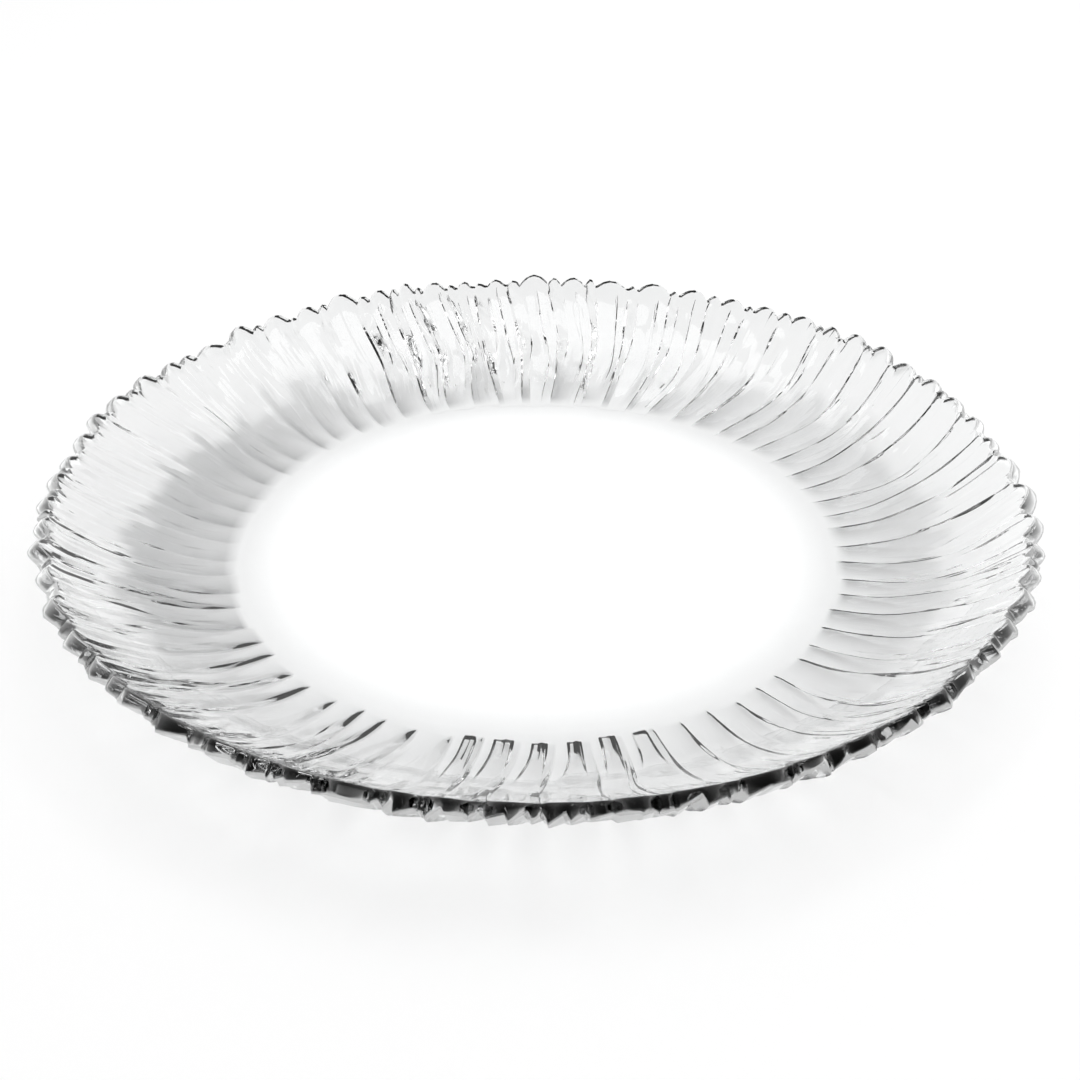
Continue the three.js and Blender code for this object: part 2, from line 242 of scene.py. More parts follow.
class PlatePaintedShade(bpy.types.PropertyGroup):
    """Painted shade: how much each part of the wall is darkened towards the glass's deep colour, from 0 to 1,
    standing in for the shading that refraction and the shadow on the floor beneath give the glass.
    """

    # Painted shade on the wall's facets and edge, and a painted shadow round the foot of the wall in the well.
    plain: share("Plain", "On the facets, the edge and round the foot of the wall", 0.12)
    scoop: span("Scoop", "Where a scoop starts, and further out", (0.1, 0.35))
    scoop_zone: span("Scoop zone", "Shares of the wall between which that changes", (0.1, 0.5))
    # Painted shade that makes the wall darker on the worn side, as a side that gets less light would be.
    worn_and_shaded: share("Worn", "Added to that on the worn side", 0.35)
    # Painted shade that darkens each flute towards its last side.
    side: span("Side", "Least and greatest at a flute's last side", (0.75, 1.0))
    side_power: number("Side power", "Power of the way across by which it grows to there", 1.3)
    side_zone: span("Side zone", "Shares of the wall between which that growth dies out", (0.1, 0.7))
    front: share("Front", "Share of that growth at the front", 0.3)
    start: length("Start", "Length over which it sets in where a flute starts", 1.5 * MM)
    upper: share("Upper", "On the upper face of the wall, inside the facets", 0.25)
    upper_zone: span("Upper zone", "Shares of the wall between which that sets in", (0, 0.1))


class GlassFinish(bpy.types.PropertyGroup):
    """Finish of the clear glass, with the colour of the shade painted on it."""

    clear: colour("Clear", "Colour of the glass in the well", (0.985, 0.99, 0.99))
    # The darkest colour of the painted shade, not a colour that the glass itself has.
    deep: colour("Deep", "Deepest colour of the glass in the wall", (0.2, 0.205, 0.21))
    ior: number("IOR", "Refractive index of soda-lime glass", 1.5)
    marks: share("Marks", "Greatest roughness that handling leaves", 0.02)
    wave: length("Wave", "Height of the faint waves that pressing leaves in the surface", 0.01 * MM)
    wave_size: length("Wave size", "Breadth of those waves", 14 * MM)
    streak: length("Streak", "Height of the fine streaks that run out along the wall", 0.008 * MM)
    streak_width: length("Streak width", "Breadth of those streaks", 3 * MM)
    streak_length: length("Streak length", "Length of those streaks", 20 * MM)
    streak_radius: length("Streak radius", "Radius at which the streaks have that breadth", 130 * MM)
    streak_zone: span("Streak zone", "Radii between which the streaks set in, in millimetres", (88, 120))


class PlateStage(bpy.types.PropertyGroup):
    """Floor, sky, lamp and camera."""

    floor_half: length("Floor half", "From the middle of the floor to its sides", 6.0)
    floor_drop: length("Floor drop", "Of the floor under the plate", 0.3 * MM)
    floor: colour("Floor", "Colour of the floor", (0.95, 0.95, 0.95))
    floor_glow: share("Floor glow", "Share of plain white that the floor shows to the camera", 0.5)
    sky: share("Sky", "Brightness of the darkest part of the sky", 0.05)
    horizon: span("Horizon", "Heights on a unit ball between which the white horizon fades", (0.02, 0.4))
    lamp_place: bpy.props.FloatVectorProperty(name="Lamp place", description="Middle of the overhead lamp",
                                              default=(0.4, 0.4, 1.9), unit="LENGTH")
    lamp_size: bpy.props.FloatVectorProperty(name="Lamp size", description="Width and depth of that lamp",
                                             default=(1.9, 1.5), size=2, unit="LENGTH")
    lamp_power: bpy.props.FloatProperty(name="Lamp power", description="Power of the overhead lamp",
                                        default=23, unit="POWER")
    distance: length("Distance", "From the camera to the middle of the well", 520 * MM)
    elevation: degrees("Elevation", "Height angle of the camera", 33.4)
    aside: length("Aside", "How far right of the plate's middle the camera stands", 1.0 * MM)
    lens: bpy.props.FloatProperty(name="Lens", description="Focal length of the camera", default=51.2,
                                  unit="CAMERA")


def scatter(index, trait):
    """A fixed value from 0 to 1 for each index and trait: the fraction of a large sine."""
    wave = np.sin(index * 12.9898 + SALT[trait] * 78.233) * 43758.5453
    return wave - np.floor(wave)


def mix(low, high, amount):
    return low + (high - low) * amount


def between(pair, index, trait):
    return mix(pair[0], pair[1], scatter(index, trait))


def soft(value, low, high):
    """Smooth step: 0 up to low, 1 from high on, and the cubic 3t^2 - 2t^3 between them."""
    amount = np.clip((value - low) / (high - low), 0, 1)
    return amount * amount * (3 - 2 * amount)


class FlutedPlate:
    """The plate's surface as arrays: rows run along its profile and columns round it."""

    def __init__(self, dish, flutes, rim, painted_shades):
        self.dish = dish
        self.flutes = flutes
        self.rim = rim
        self.painted_shades = painted_shades
        self.run = self.wall_run()
        self.lay_columns()
        self.draw_flutes()
        self.draw_facets()

    def wall_run(self):
        """Run of the wall's upper face. The edge is square to the wall, so repetition settles slope and
        run."""
        reach = self.dish.outer_radius - self.dish.well_radius
        run = reach
        for _ in range(20):
            slope = np.arctan(self.dish.rise * self.dish.power / run)
            run = reach - self.dish.edge * np.sin(slope)
        return run

    def lay_columns(self):
        """For each column: its flute, its band across the flute, how far into the band it stands, and its
        facet."""
        bands = [FACET_COLUMNS, SIDE_COLUMNS] * FACETS
        band = np.concatenate([np.full(len(steps), number) for number, steps in enumerate(bands)])
        self.flute = np.repeat(np.arange(self.flutes.count), len(band))
        self.band = np.tile(band, self.flutes.count)
        self.into = np.tile(np.concatenate(bands), self.flutes.count)
        self.eased = self.into * self.into * (3 - 2 * self.into)
        self.is_side = self.band % 2 == 1
        self.is_last = self.band == 2 * FACETS - 1
        self.facet = FACETS * self.flute + self.band // 2
        self.next_facet = (self.facet + 1) % (FACETS * self.flutes.count)

    def draw_flutes(self):
        """Traits of every flute."""
        flutes = self.flutes
        index = np.arange(flutes.count)
        self.start = flutes.setback * scatter(index, "start") / self.run
        from_front = 180 - np.abs((index * 360 / flutes.count + 90) % 360 - 180)
        self.scooped = soft(from_front, *flutes.square)
        taper = mix(flutes.taper, flutes.far_taper, soft(from_front, *flutes.far))
        self.closing = mix(flutes.end, taper, self.scooped) / self.run
        self.whole = soft(from_front, *flutes.front)
        self.tip = between(flutes.scoop_tip, index, "tip")
        self.broken = soft(from_front, *flutes.back)
        self.dashed = soft(from_front, *flutes.dashes)
        narrow = mix(1.0, flutes.back_side, self.broken)[self.flute]
        self.side = flutes.side * narrow
        self.last_side = flutes.last_side * narrow
        # The worn side: shallower flutes there, and more painted shade on its wall.
        self.worn_and_shaded = soft(np.cos(index * FULL_TURN / flutes.count - flutes.worn_side), *flutes.worn_zone)
        self.deep = between(flutes.depth_spread, index, "depth") * (1 - flutes.wear * self.worn_and_shaded)
        self.slot_width = between(flutes.slot_width, index, "slot_width")
        self.ripple = scatter(index, "ripple")
        self.split_low = between(flutes.split_low, index, "split_low")
        self.split_high = between(flutes.split_high, index, "split_high")
        self.stray = flutes.stray * (scatter(index, "stray") - 0.5)
        self.sweep = between(flutes.sweep, index, "sweep")
        lobes = np.arange(2 * flutes.count)
        self.lobe_short = self.rim.lobe * np.where(lobes % 2 == 0, between(self.rim.long_lobe, lobes, "lobe"),
                                                   between(self.rim.short_lobe, lobes, "lobe"))

    def draw_facets(self):
        """Depth at each facet's start and end, as a share of the usual depth, with its onset and its bevel. A
        flute's three facets climb in turn, most of them unbroken, and its last side falls back to full
        glass."""
        flutes = self.flutes
        index = np.arange(flutes.count)
        steady = mix(*flutes.steady, self.broken)
        low_end = between(flutes.rise_low, index, "rise_low")
        mid_start = low_end - np.maximum(scatter(index, "drop_low") - steady, 0)
        mid_end = mid_start + between(flutes.rise_mid, index, "rise_mid")
        high_start = mid_end - np.maximum(scatter(index, "drop_high") - steady, 0)
        high_end = between(flutes.rise_high, index, "rise_high")
        self.facet_start = np.stack([0 * low_end, mid_start, high_start], 1).ravel()
        self.facet_end = np.stack([low_end, mid_end, high_end], 1).ravel()
        facets = np.arange(FACETS * flutes.count)
        owner = facets // FACETS
        broken = self.broken[owner]
        onset = between(flutes.onset, facets, "onset")
        self.onset = mix(onset, between(flutes.back_onset, facets, "onset"), broken)
        self.phase = scatter(facets, "phase")
        self.pulsing = self.dashed[owner] * flutes.pulse
        self.bevel_start = self.bevel_height(between(self.rim.bevel_starts, facets, "bevel"), owner)
        self.bevel_end = self.bevel_height(between(self.rim.bevel_ends, facets, "tooth"), owner)

    def bevel_height(self, place, owner):
        """Height of the bevel from its place between the least and greatest: calmer away from the front, and
        even at the back."""
        calm = 1 - self.rim.bevel_calm * self.whole[owner]
        return mix(*self.rim.bevel, mix(place * calm, self.rim.bevel_back, self.broken[owner])) * MM

    def side_angle(self, flute, along):
        """Angle of the side where a flute begins: its even place, plus its stray and slow lean, less its
        sweep, which grows to half way out and then turns back."""
        own = flute % self.flutes.count
        pitch = FULL_TURN / self.flutes.count
        lean = self.flutes.lean * along ** 2 * np.sin(self.flutes.lean_waves * own * pitch)
        whole, turn = self.flutes.sweep_zone
        swept = soft(along, 0, whole) - self.flutes.sweep_back * soft(along, turn, 1)
        return pitch * (flute + self.stray[own] + lean - self.sweep[own] * swept)

    def splits(self, along):
        """Shares of the flute's width at its two inner sides, and the slot's width: they are the slot's sides
        near the well and the splits further out."""
        width = mix(self.slot_width[self.flute], self.flutes.scoop_width, soft(along, *self.flutes.width_zone))
        outward = soft(along, *self.flutes.split_zone)
        low = mix(0.5 - width / 2, self.split_low[self.flute], outward)
        high = mix(0.5 + width / 2, self.split_high[self.flute], outward)
        return low, high, width

    def across(self, along):
        """Share of the flute's width at each column, with its splits and the slot's width."""
        low, high, width = self.splits(along)
        half = self.side / 2
        none = 0 * low
        marks = [none, low - half, low + half, high - half, high + half, none + 1 - self.last_side, none + 1]
        band = np.broadcast_to(self.band, low.shape)
        return mix(np.choose(band, marks[:-1]), np.choose(band, marks[1:]), self.into), high, width

    def angle(self, along):
        across, _, _ = self.across(along)
        return mix(self.side_angle(self.flute, along), self.side_angle(self.flute + 1, along), across)

    def by_facet(self, start, end, gain=lambda facet: 1.0):
        """A value on every column from its values at the facets' starts and ends: straight along a facet, and
        eased over a side. gain gives how far a facet has set in."""
        own = gain(self.facet)
        coming = gain(self.next_facet)
        straight = mix(start[self.facet], end[self.facet], self.into) * own
        over = mix(end[self.facet] * own, start[self.next_facet] * coming, self.eased)
        return np.where(self.is_side, over, straight)

    def section(self, along):
        """Depth of the slanted facets as a share of the usual one: part of it at each facet's onset, the rest
        by the rim."""
        step = self.flutes.onset_step

        def gain(facet):
            onset = self.onset[facet]
            wave = 0.5 - 0.5 * np.cos(FULL_TURN * (self.flutes.pulses * along + self.phase[facet]))
            early = soft(along, onset, onset + self.flutes.onset_length)
            return mix(soft(along, onset, 1.0), early, step) * (1 - self.pulsing[facet] * wave)
        return self.by_facet(self.facet_start, self.facet_end, gain)

    def set_in(self, along):
        """How far the facets have set in, from 0 to 1, over a soft span: where they have, the painted shade
        falls back to its plain share.
        """
        half = self.flutes.onset_length / 2

        def gain(facet):
            return soft(along, self.onset[facet] - half, self.onset[facet] + half)
        ones = np.ones(FACETS * self.flutes.count)
        return self.by_facet(ones, ones, gain)

    def climb(self, along, across):
        """How far a scoop has deepened on its way across, from 0 to 1 at its last side. Its tip is narrow."""
        whole = 1 - self.last_side
        width = whole * mix(self.tip[self.flute], 1.0, soft(along, 0, self.flutes.scoop_spread))
        return np.clip(1 - (whole - across) / width, 0, 1)

    def painted_shading(self, along):
        """Painted shade on the underside, from 0 to 1: it sets in where a flute starts, grows on the way
        across to the flute's last side, and the facets have little of it."""
        painted_shades = self.painted_shades
        across, _, _ = self.across(along)
        start = self.start[self.flute]
        begun = soft(along, start, start + painted_shades.start / self.run)
        # Painted shade that darkens each flute towards its last side, weaker at the front.
        grown = np.minimum(across / (1 - self.last_side), 1) ** painted_shades.side_power
        grown = np.where(self.is_last, 1 - self.eased, grown) * (1 - soft(along, *painted_shades.side_zone))
        grown = grown * mix(painted_shades.front, 1.0, self.whole[self.flute])
        # Painted shade in the inner wall, with more of it on the worn side to darken that side.
        scoop = mix(*painted_shades.scoop, soft(along, *painted_shades.scoop_zone)) + painted_shades.worn_and_shaded * self.worn_and_shaded[self.flute]
        inner = mix(painted_shades.plain, mix(scoop, between(painted_shades.side, self.flute, "tone"), grown), begun)
        return mix(inner, painted_shades.plain, self.set_in(along))

    def upper_painted_shading(self, along):
        """Painted shade on the upper face, which has less of it."""
        inner = mix(self.painted_shades.plain, self.painted_shades.upper, soft(along, *self.painted_shades.upper_zone))
        return mix(inner, self.painted_shades.plain, self.set_in(along))

    def slot(self, along):
        """Depth of the slots as a share of the usual one: a square channel with a hollowed floor and a rib
        along it, which turns into a scoop."""
        across, _, width = self.across(along)
        bow = np.clip(1 - ((2 * across - 1) / width) ** 2, 0, 1)
        from_rib = np.abs(self.into - self.flutes.rib_place) / self.flutes.rib_half
        rib = 1 - self.flutes.rib * np.clip(1 - from_rib, 0, 1)
        box = np.choose(np.broadcast_to(self.band, across.shape), [0, self.eased, rib, 1 - self.eased, 0, 0])
        box = box * mix(1 - self.flutes.hollow, 1.0, bow)
        scoop = self.climb(along, across) ** self.flutes.scoop_power
        scoop = np.where(self.is_last, 1 - self.eased, scoop) * self.flutes.scoop_depth
        start = self.start[self.flute]
        opened = soft(along, start, start + self.closing[self.flute])
        scooped = np.maximum(soft(along, *self.flutes.scoop_zone), self.scooped[self.flute])
        return mix(box, scoop, scooped) * opened * (1 - soft(along, *self.flutes.fade))

    def rippled(self, along):
        """Fine slanting ripples that break up the scoops towards the back: a sine across each flute."""
        flutes = self.flutes
        across, _, _ = self.across(along)
        own = self.ripple[self.flute]
        turns = flutes.ripples * across + flutes.ripple_slant * along + own
        zone = soft(along, *flutes.ripple_in) * (1 - soft(along, *flutes.ripple_out))
        zone = zone * np.sin(np.pi * across) ** 2
        along_beats, flute_beats = flutes.ripple_beats
        beat = np.sin(FULL_TURN * (along_beats * along + flute_beats * own))
        zone = zone * (1 - flutes.ripple_beat + flutes.ripple_beat * beat)
        return flutes.ripple * np.sin(FULL_TURN * turns) * zone * self.broken[self.flute]

    def wall(self, along, depth):
        """Radius and height of a point at a depth below the upper face, square to it."""
        dish = self.dish
        outward = np.maximum(along, 0)
        slope = np.arctan(dish.rise * dish.power * outward ** (dish.power - 1) / self.run)
        radius = dish.well_radius + self.run * along + depth * np.sin(slope)
        height = dish.base + dish.rise * outward ** dish.power - depth * np.cos(slope)
        return radius, height, slope

    def shortfall(self, along):
        """How far the rim stops short. Each flute has two lobes, each a parabola across its own middle, and
        the lobe that reaches furthest is the rim."""
        across, high, _ = self.across(along)
        total = 2 * self.flutes.count
        short = np.full(across.shape, self.rim.lobe)
        for offset in (-2, -1, 0, 1, 2, 3):
            lobe = (2 * self.flute + offset) % total
            turns = offset // 2
            middle = turns + (high / 2 if offset % 2 == 0 else (1 + high) / 2)
            half = high / 2 if offset % 2 == 0 else (1 - high) / 2
            reach = self.lobe_short[lobe] + self.rim.lobe_round * ((across - middle) / half) ** 2
            short = np.minimum(short, reach)
        return short

    def reached(self, along):
        return along - soft(along, *self.rim.lobe_zone) * self.shortfall(along) / self.run

    def upper(self, along):
        """The upper face: a faint print of the facets, and slow waves that start afresh on each facet."""
        wave = np.sin(FULL_TURN * (self.flutes.swells * along + self.by_facet(self.phase, self.phase)))
        zone = soft(along, *self.flutes.swell_in) * (1 - soft(along, *self.flutes.swell_out))
        depth = self.flutes.print_depth * self.section(along) + self.flutes.swell * wave * zone
        return self.wall(self.reached(along), depth)

    def thickness(self, along):
        """Thickness of the glass without the bevel, and as the bevel alone would leave it: full thickness less
        slots and facets, and the bevel's face, which rises to the edge."""
        deep = self.deep[self.flute]
        facets = self.flutes.facet_depth * mix(1.0, self.flutes.back_depth, self.broken[self.flute])
        cut = (self.flutes.slot_depth * self.slot(along) + facets * self.section(along)) * deep
        thickness = mix(self.dish.base, self.dish.edge, along ** 2) + self.rippled(along)
        bevel = self.by_facet(self.bevel_start, self.bevel_end)
        rim_slope = np.arctan(self.dish.rise * self.dish.power / self.run)
        ahead = (1 - along) * self.run / np.cos(rim_slope)
        return thickness - cut, self.dish.edge - bevel + ahead * self.rim.bevel_slope

    def gleam(self, along):
        """How much the underside gleams: only its bevel does, and not at the back."""
        plain, bevelled = self.thickness(along)
        facing = self.rim.bevel_gleam * (1 - self.dashed[self.flute])
        return facing * soft(plain - bevelled, 0, self.rim.bevel_blend)

    def edge_gleam(self):
        """How much the edge gleams: all of it at the sides, none at the back, and at the front only its lower
        part, to an uneven line."""
        place = np.linspace(0, 1, EDGE_ROWS)[:, None]
        reach = self.rim.gleam_reach * scatter(self.facet, "gleam")
        low = self.rim.bevel_gleam * (1 - soft(place, reach, reach + self.rim.gleam_blend))
        return mix(low, self.rim.side_gleam, self.whole[self.flute]) * (1 - self.dashed[self.flute])

    def under(self, along):
        """The underside, cut by the bevel: the lesser thickness, rounded where the two meet."""
        plain, bevelled = self.thickness(along)
        blend = self.rim.bevel_blend
        overlap = np.maximum(blend - np.abs(plain - bevelled), 0) / blend
        return self.wall(self.reached(along), np.minimum(plain, bevelled) - blend * overlap ** 2 / 4)

    def edge_rows(self):
        """The edge between the underside's and upper face's last points, swollen as a superellipse."""
        rim = np.ones((1, len(self.flute)))
        low_radius, low_height, slope = self.under(rim)
        top_radius, top_height, _ = self.upper(rim)
        turn = np.linspace(0, np.pi, EDGE_ROWS + 2)[1:-1, None]
        cosine = -np.cos(turn)
        place = 0.5 + 0.5 * np.sign(cosine) * np.abs(cosine) ** self.rim.round_power
        swell = self.rim.round * np.sin(turn) ** self.rim.round_power
        radius = mix(low_radius, top_radius, place) + swell * np.cos(slope)
        height = mix(low_height, top_height, place) + swell * np.sin(slope)
        return self.points(radius, height, np.ones((EDGE_ROWS, 1)) * rim)

    def points(self, radius, height, along):
        angle = self.angle(along)
        return np.stack([radius * np.cos(angle), radius * np.sin(angle), height + 0 * angle], -1)

    def flat_rings(self, radii, height):
        ring = np.ones(len(self.flute))
        return self.points(np.array(radii)[:, None] * ring, height, np.zeros((len(radii), 1)) * ring)

    def under_shares(self):
        """Shares of the wall at the underside's rows: close round each slot's end, even along the wall, close
        at the bevel."""
        start = self.start[self.flute]
        closing = self.closing[self.flute]
        full = start + closing
        ends = [start - BEFORE_CLOSING / self.run, start]
        ends += [start + step * closing for step in CLOSING_ROWS]
        ends += [full + step / self.run for step in AFTER_CLOSING]
        bevel_from = 1 - BEVEL_LENGTH / self.run
        wall = [mix(ends[-1], bevel_from, step) for step in np.linspace(0, 1, WALL_ROWS + 1)[1:]]
        bevel = [mix(bevel_from, 1.0, step) + 0 * start for step in np.linspace(0, 1, BEVEL_ROWS + 1)[1:]]
        return np.stack(ends + wall + bevel)

    def grid(self):
        """Rows from the middle of the base, out along the underside, round the edge and back to the middle of
        the well, with the painted shade and the gleam of each point."""
        dish = self.dish
        ring = np.ones(len(self.flute))
        inner = [dish.well_radius - step for step in WELL_RINGS]
        under_shares = self.under_shares()
        under_radius, under_height, _ = self.under(under_shares)
        upper_shares = (1 - np.linspace(0, 1, UPPER_ROWS) ** UPPER_CROWDING)[:, None] * ring
        upper_radius, upper_height, _ = self.upper(upper_shares)
        points = np.concatenate([
            self.flat_rings(inner, 0.0),
            self.points(under_radius, under_height, under_shares),
            self.edge_rows(),
            self.points(upper_radius, upper_height, upper_shares),
            self.flat_rings(inner[::-1], dish.base),
        ])
        # Painted shade: a painted shadow in the well that grows to the plain share at the foot of the wall,
        # and the plain share on the edge.
        flat = np.array([0.0, self.painted_shades.plain])[:, None] * ring
        edge = np.full((EDGE_ROWS, 1), self.painted_shades.plain) * ring
        painted_shading = [flat, self.painted_shading(under_shares), edge, self.upper_painted_shading(upper_shares), flat[::-1]]
        gleam = [0 * flat, self.gleam(under_shares), self.edge_gleam(), 0 * upper_shares, 0 * flat]
        return points, {PAINTED_SHADE: np.concatenate(painted_shading), EDGE_GLEAM: np.concatenate(gleam)}


def turned_mesh(name, grid, values):
    """Closed mesh of a grid whose rows are rings, with a fan to a middle point at each end. Its vertices keep
    values, which are 0 at the middle points."""
    rows, columns, _ = grid.shape
    middles = [(0, 0, grid[0, 0, 2]), (0, 0, grid[-1, 0, 2])]
    row, column = np.meshgrid(np.arange(rows - 1), np.arange(columns), indexing="ij")
    after = (column + 1) % columns
    quads = np.stack([row * columns + column, row * columns + after, (row + 1) * columns + after,
                      (row + 1) * columns + column], -1).reshape(-1, 4)
    ring = np.arange(columns)
    ring_after = (ring + 1) % columns
    last = (rows - 1) * columns
    low_fan = np.stack([np.full(columns, rows * columns), ring_after, ring], -1)
    high_fan = np.stack([np.full(columns, rows * columns + 1), last + ring, last + ring_after], -1)
    mesh = bpy.data.meshes.new(name)
    vertices = np.concatenate([grid.reshape(-1, 3), middles])
    mesh.from_pydata(vertices.tolist(), [], quads.tolist() + low_fan.tolist() + high_fan.tolist())
    mesh.polygons.foreach_set("use_smooth", np.ones(len(mesh.polygons), bool))
    mesh.set_sharp_from_angle(angle=np.radians(CREASE))
    for key, value in values.items():
        kept = mesh.attributes.new(key, "FLOAT", "POINT")
        kept.data.foreach_set("value", np.append(value.ravel(), [0.0, 0.0]))
    return mesh


class Wire:
    """An output socket that can be used in arithmetic: each operation adds one Math node to its tree."""

    def __init__(self, tree, socket):
        self.tree = tree
        self.socket = socket

    def math(self, operation, *values):
        return add_node(self.tree, "ShaderNodeMath", {"operation": operation}, dict(enumerate(values)))

    def __add__(self, other):
        return self.math("ADD", self, other)

    def __radd__(self, other):
        return self.math("ADD", other, self)

    def __sub__(self, other):
        return self.math("SUBTRACT", self, other)

    def __rsub__(self, other):
        return self.math("SUBTRACT", other, self)

    def __mul__(self, other):
        return self.math("MULTIPLY", self, other)

    def __rmul__(self, other):
        return self.math("MULTIPLY", other, self)


def add_node(tree, kind, settings, sockets, output=0):
    """Adds a node: its settings first, then its sockets, each given a Wire to link or a plain value."""
    node = tree.nodes.new(kind)
    for key, value in settings.items():
        setattr(node, key, value)
    for key, value in sockets.items():
        if isinstance(value, Wire):
            tree.links.new(value.socket, node.inputs[key])
        else:
            node.inputs[key].default_value = value
    return Wire(tree, node.outputs[output]) if node.outputs else None


def opaque(rgb):
    return (*rgb, 1.0)


def clear_glass(finish):
    """Clear pressed glass, darkened towards its deep colour where the painted shade says, with faint waves,
    streaks along the wall, faint handling marks, and an edge that gleams like a mirror."""
    material = bpy.data.materials.new("clear_glass")
    material.use_nodes = True
    tree = material.node_tree
    place = add_node(tree, "ShaderNodeTexCoord", {}, {}, "Object")
    flat = add_node(tree, "ShaderNodeVectorMath", {"operation": "MULTIPLY"}, {0: place, 1: (1, 1, 0)})
    radius = add_node(tree, "ShaderNodeVectorMath", {"operation": "LENGTH"}, {0: flat}, "Value")
    near, far = finish.streak_zone
    wall = add_node(tree, "ShaderNodeMapRange", {"interpolation_type": "SMOOTHSTEP"},
                    {"Value": radius, "From Min": near * MM, "From Max": far * MM})
    # Base colour: the clear glass darkened towards the deep colour by the painted shade.
    painted_shading = add_node(tree, "ShaderNodeAttribute", {"attribute_name": PAINTED_SHADE}, {}, "Fac")
    tint_and_painted_shade = add_node(tree, "ShaderNodeMix", {"data_type": "RGBA"},
                    {0: painted_shading, 6: opaque(finish.clear), 7: opaque(finish.deep)}, 2)
    cloud = add_node(tree, "ShaderNodeTexNoise", {},
                     {"Vector": place, "Scale": 1 / finish.wave_size, "Detail": 1.0})
    outward = add_node(tree, "ShaderNodeVectorMath", {"operation": "NORMALIZE"}, {0: flat})
    around = add_node(tree, "ShaderNodeVectorMath", {"operation": "SCALE"},
                      {0: outward, "Scale": finish.streak_radius / finish.streak_width})
    along = add_node(tree, "ShaderNodeCombineXYZ", {}, {"Z": radius * (1 / finish.streak_length)})
    streak_place = add_node(tree, "ShaderNodeVectorMath", {"operation": "ADD"}, {0: around, 1: along})
    streaks = add_node(tree, "ShaderNodeTexNoise", {}, {"Vector": streak_place, "Scale": 1.0, "Detail": 2.0})
    relief = cloud * (finish.wave / finish.streak) + streaks * wall
    bump = add_node(tree, "ShaderNodeBump", {},
                    {"Height": relief, "Strength": 1.0, "Distance": finish.streak})
    gleam = add_node(tree, "ShaderNodeAttribute", {"attribute_name": EDGE_GLEAM}, {}, "Fac")
    shader = tree.nodes["Principled BSDF"]
    shader.inputs["IOR"].default_value = finish.ior
    shader.inputs["Transmission Weight"].default_value = 1.0
    tree.links.new(tint_and_painted_shade.socket, shader.inputs["Base Color"])
    tree.links.new((cloud * finish.marks).socket, shader.inputs["Roughness"])
    tree.links.new(gleam.socket, shader.inputs["Metallic"])
    tree.links.new(bump.socket, shader.inputs["Normal"])
    return material


class PLATE_OT_press(bpy.types.Operator):
    """Make the fluted glass plate and put it in the place of its plain solid"""

    bl_idname = "plate.press"
    bl_label = "Press the Glass Plate"

    def execute(self, context):
        scene = context.scene
        surface = FlutedPlate(scene.plate_dish, scene.plate_flutes, scene.plate_rim, scene.plate_shade)
        mesh = turned_mesh("pressed_glass_plate", *surface.grid())
        mesh.materials.append(clear_glass(scene.plate_glass))
        plate = bpy.data.objects.new("pressed_glass_plate", mesh)
        scene.collection.objects.link(plate)
        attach(plate, BODY)
        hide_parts(NODE)
        return {"FINISHED"}


def white_to_view(tree):
    """1 on rays that come from the camera, a reflection or a refraction, and 0 on the rays that carry
    light."""
    kinds = ("Is Camera Ray", "Is Glossy Ray", "Is Transmission Ray")
    camera, glossy, transmission = (add_node(tree, "ShaderNodeLightPath", {}, {}, kind) for kind in kinds)
    return camera.math("MAXIMUM", camera.math("MAXIMUM", camera, glossy), transmission)


def floor_paper(stage):
    """White paper: a matt white that takes shadows, with part of a plain white shown to the camera and the
    glass."""
    material = bpy.data.materials.new("floor_paper")
    material.use_nodes = True
    tree = material.node_tree
    tree.nodes.clear()
    matt = add_node(tree, "ShaderNodeBsdfDiffuse", {}, {"Color": opaque(stage.floor)})
    white = add_node(tree, "ShaderNodeEmission", {}, {"Color": (1, 1, 1, 1)})
    both = add_node(tree, "ShaderNodeMixShader", {},
                    {0: white_to_view(tree) * stage.floor_glow, 1: matt, 2: white})
    add_node(tree, "ShaderNodeOutputMaterial", {}, {"Surface": both})
    return material


def make_floor(scene, stage):
    half = stage.floor_half
    level = -stage.floor_drop
    corners = [(-half, -half, level), (half, -half, level), (half, half, level), (-half, half, level)]
    mesh = bpy.data.meshes.new("stage_floor")
    mesh.from_pydata(corners, [], [(0, 1, 2, 3)])
    mesh.materials.append(floor_paper(stage))
    floor = bpy.data.objects.new("stage_floor", mesh)
    scene.collection.objects.link(floor)


# Soft lights of the sky: direction, sharpness, brightness
SKY_LIGHTS = (
    ((0.0, 0.83, 0.56), 9.0, 0.75),
    ((-0.80, 0.45, 0.40), 4.0, 0.9),
    ((0.85, 0.30, 0.40), 4.0, 0.8),
    ((0.0, 0.2, 1.0), 2.0, 0.25),
)


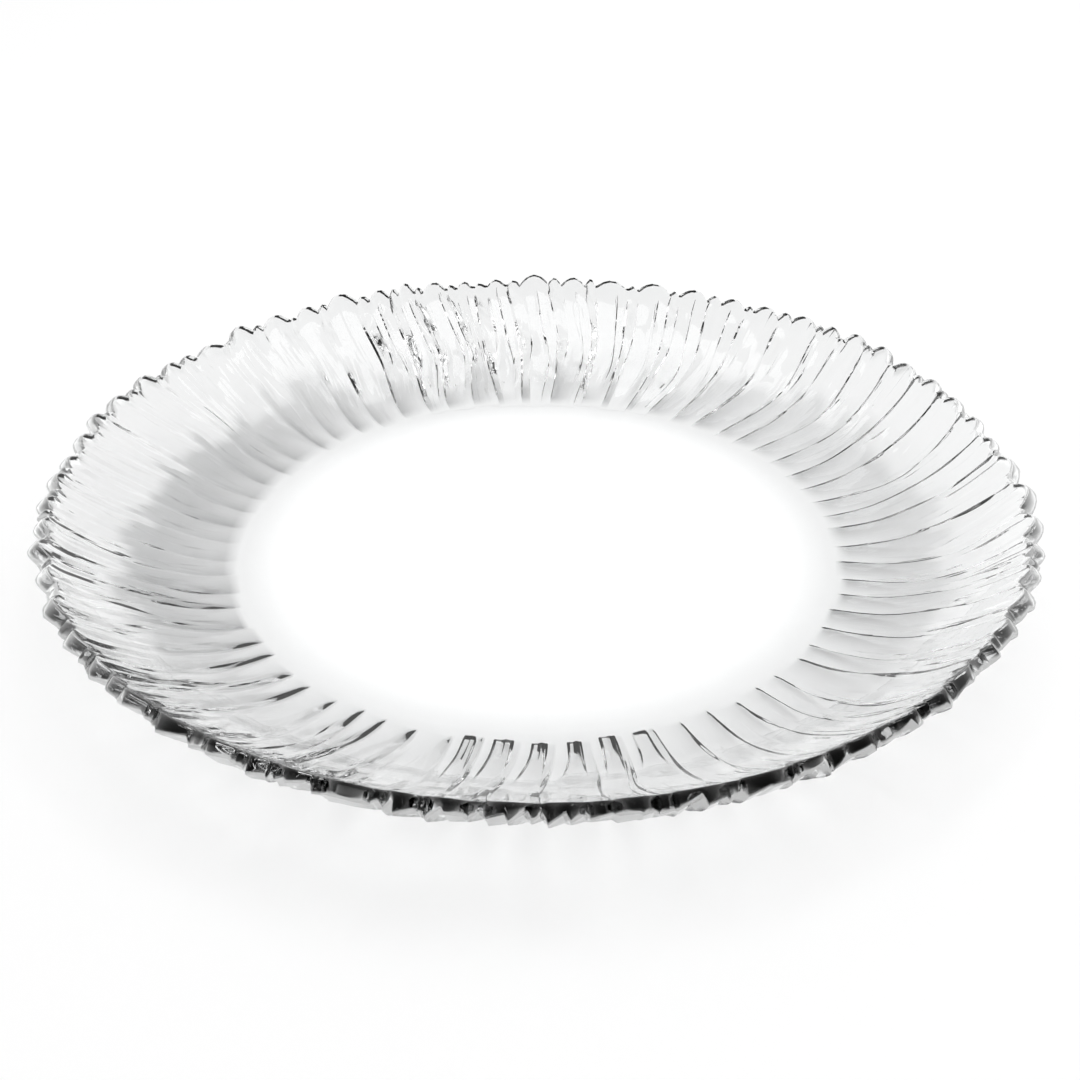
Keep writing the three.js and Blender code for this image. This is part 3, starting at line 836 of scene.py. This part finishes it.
def make_sky(scene, stage):
    """Dark sky with a white horizon and soft lights, each falling off as exp(sharpness * (cosine - 1))."""
    world = bpy.data.worlds.new("studio_sky")
    scene.world = world
    world.use_nodes = True
    tree = world.node_tree
    towards = add_node(tree, "ShaderNodeTexCoord", {}, {}, "Generated")
    height = add_node(tree, "ShaderNodeSeparateXYZ", {}, {"Vector": towards}, "Z")
    low, high = stage.horizon
    horizon = add_node(tree, "ShaderNodeMapRange", {"interpolation_type": "SMOOTHSTEP"},
                       {"Value": height, "From Min": low, "From Max": high, "To Min": 1.0, "To Max": 0.0})
    light = horizon + stage.sky
    for direction, sharpness, brightness in SKY_LIGHTS:
        aim = Vector(direction).normalized()
        cosine = add_node(tree, "ShaderNodeVectorMath", {"operation": "DOT_PRODUCT"},
                          {0: towards, 1: aim}, "Value")
        falloff = (cosine - 1.0) * sharpness
        light = light + falloff.math("EXPONENT", falloff) * brightness
    tree.links.new(light.socket, tree.nodes["Background"].inputs["Strength"])
    tree.nodes["Background"].inputs["Color"].default_value = (1, 1, 1, 1)


def make_lamp(scene, stage):
    """One large soft lamp overhead, aimed at the plate."""
    lamp = bpy.data.lights.new("overhead_lamp", "AREA")
    lamp.shape = "RECTANGLE"
    lamp.size, lamp.size_y = stage.lamp_size
    lamp.energy = stage.lamp_power
    hung = bpy.data.objects.new("overhead_lamp", lamp)
    hung.location = stage.lamp_place
    hung.rotation_euler = (-hung.location).to_track_quat("-Z", "Y").to_euler()
    hung.visible_glossy = False
    scene.collection.objects.link(hung)


def make_camera(scene, stage):
    camera = bpy.data.cameras.new("camera")
    camera.sensor_width = SENSOR
    camera.lens = stage.lens
    camera.clip_start = NEAREST
    seen = bpy.data.objects.new("camera", camera)
    back = stage.distance * np.cos(stage.elevation)
    up = stage.distance * np.sin(stage.elevation)
    seen.location = (stage.aside, -back, scene.plate_dish.base + up)
    seen.rotation_euler = (np.pi / 2 - stage.elevation, 0, 0)
    scene.collection.objects.link(seen)
    scene.camera = seen


class PLATE_OT_stage(bpy.types.Operator):
    """Lay the floor, light the sky and set up the camera"""

    bl_idname = "plate.stage"
    bl_label = "Set the Stage"

    def execute(self, context):
        scene = context.scene
        make_floor(scene, scene.plate_stage)
        make_sky(scene, scene.plate_stage)
        make_lamp(scene, scene.plate_stage)
        make_camera(scene, scene.plate_stage)
        scene.view_settings.view_transform = "Standard"
        scene.cycles.blur_glossy = 0.0
        scene.cycles.max_bounces = BOUNCES
        scene.cycles.transmission_bounces = BOUNCES
        return {"FINISHED"}


class PLATE_PT_panel(bpy.types.Panel):
    """Settings and makers of the plate and its stage"""

    bl_idname = "PLATE_PT_panel"
    bl_label = "Serving Plate"
    bl_space_type = "VIEW_3D"
    bl_region_type = "UI"
    bl_category = "Plate"

    def draw(self, context):
        for operator in OPERATORS:
            self.layout.operator(operator.bl_idname)
        for name, group in GROUPS.items():
            box = self.layout.box()
            box.label(text=group.__doc__)
            for key in group.__annotations__:
                box.prop(getattr(context.scene, name), key)


GROUPS = {
    "plate_dish": PlateDish,
    "plate_flutes": PlateFlutes,
    "plate_rim": PlateRim,
    "plate_shade": PlatePaintedShade,
    "plate_glass": GlassFinish,
    "plate_stage": PlateStage,
}
OPERATORS = (PLATE_OT_press, PLATE_OT_stage)
CLASSES = (*GROUPS.values(), *OPERATORS, PLATE_PT_panel)


def register():
    for cls in CLASSES:
        bpy.utils.register_class(cls)
    for name, group in GROUPS.items():
        setattr(bpy.types.Scene, name, bpy.props.PointerProperty(type=group))


def unregister():
    for name in GROUPS:
        delattr(bpy.types.Scene, name)
    for cls in reversed(CLASSES):
        bpy.utils.unregister_class(cls)


def main():
    register()
    bpy.ops.plate.press()
    bpy.ops.plate.stage()


if __name__ == "__main__":
    main()
